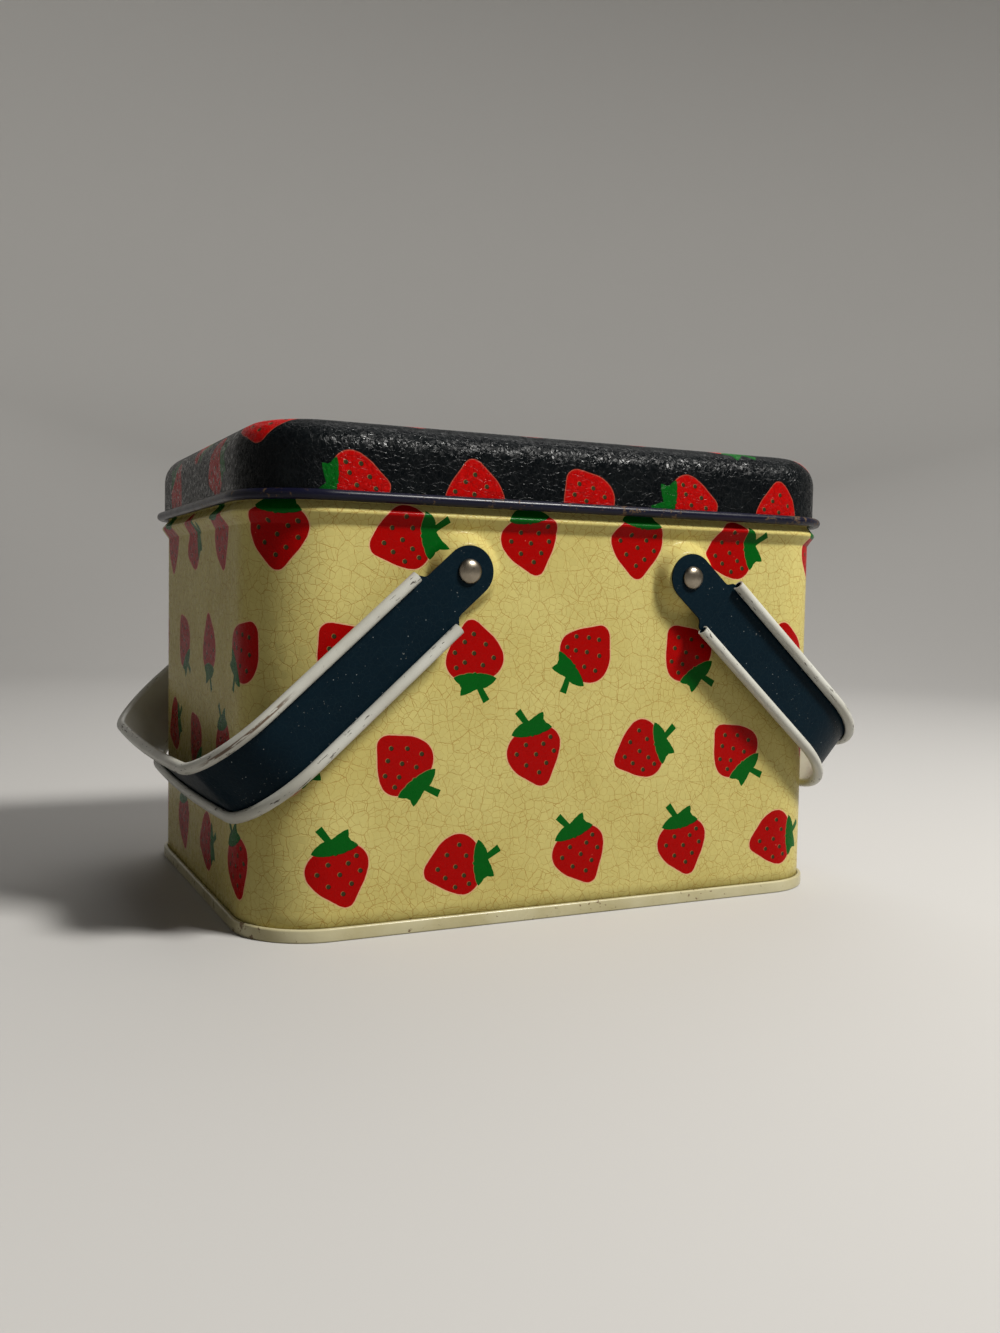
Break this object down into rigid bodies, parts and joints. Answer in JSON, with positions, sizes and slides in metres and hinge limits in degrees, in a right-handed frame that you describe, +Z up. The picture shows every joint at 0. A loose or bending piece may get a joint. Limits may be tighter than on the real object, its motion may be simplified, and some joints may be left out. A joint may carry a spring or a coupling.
{
  "type": "tin box",
  "caption": "Rectangular printed tin box with round corners, a lift-off lid with a rolled edge, and strap handles that swing on rivets on its long sides.",
  "frame": {"origin": "middle of the rim that the tin stands on, on the table", "axes": "+X to the right along the front, -Y out of the front, +Z up"},
  "size_m": [0.2224, 0.157, 0.14],
  "materials": {
    "printed_wall": "gloss varnish over a printed fruit pattern, finely crackled",
    "bottom": "gloss lacquer",
    "lid": "gloss varnish over a printed fruit pattern on dark blue",
    "handle": "satin lacquer, off-white on the inner face and the rolled edges",
    "rivet": "nickel plate, dulled",
    "washer": "plain tinned steel"
  },
  "bodies": {
    "tin": {"body_wall": "printed_wall", "bottom_panel": "bottom", "rivet_front_left": "rivet", "rivet_front_right": "rivet", "rivet_back_left": "rivet", "rivet_back_right": "rivet", "rivet_washer_front_left": "washer", "rivet_washer_front_right": "washer", "rivet_washer_back_left": "washer", "rivet_washer_back_right": "washer"},
    "lid": {"lid": "lid"},
    "handle_left": {"handle_left": "handle"},
    "handle_right": {"handle_right": "handle"}
  },
  "joints": [
    {"name": "lid_lift", "type": "slide", "parent": "tin", "child": "lid", "axis": [0, 0, 1], "range_m": [0, 0.034]},
    {"name": "handle_left_swing", "type": "hinge", "parent": "tin", "child": "handle_left", "pos_m": [-0.0368, 0, 0.1003], "axis": [0, 1, 0], "range_deg": [0, 148.5]},
    {"name": "handle_right_swing", "type": "hinge", "parent": "tin", "child": "handle_right", "pos_m": [0.0368, 0, 0.1003], "axis": [0, -1, 0], "range_deg": [0, 148.5]}
  ]
}
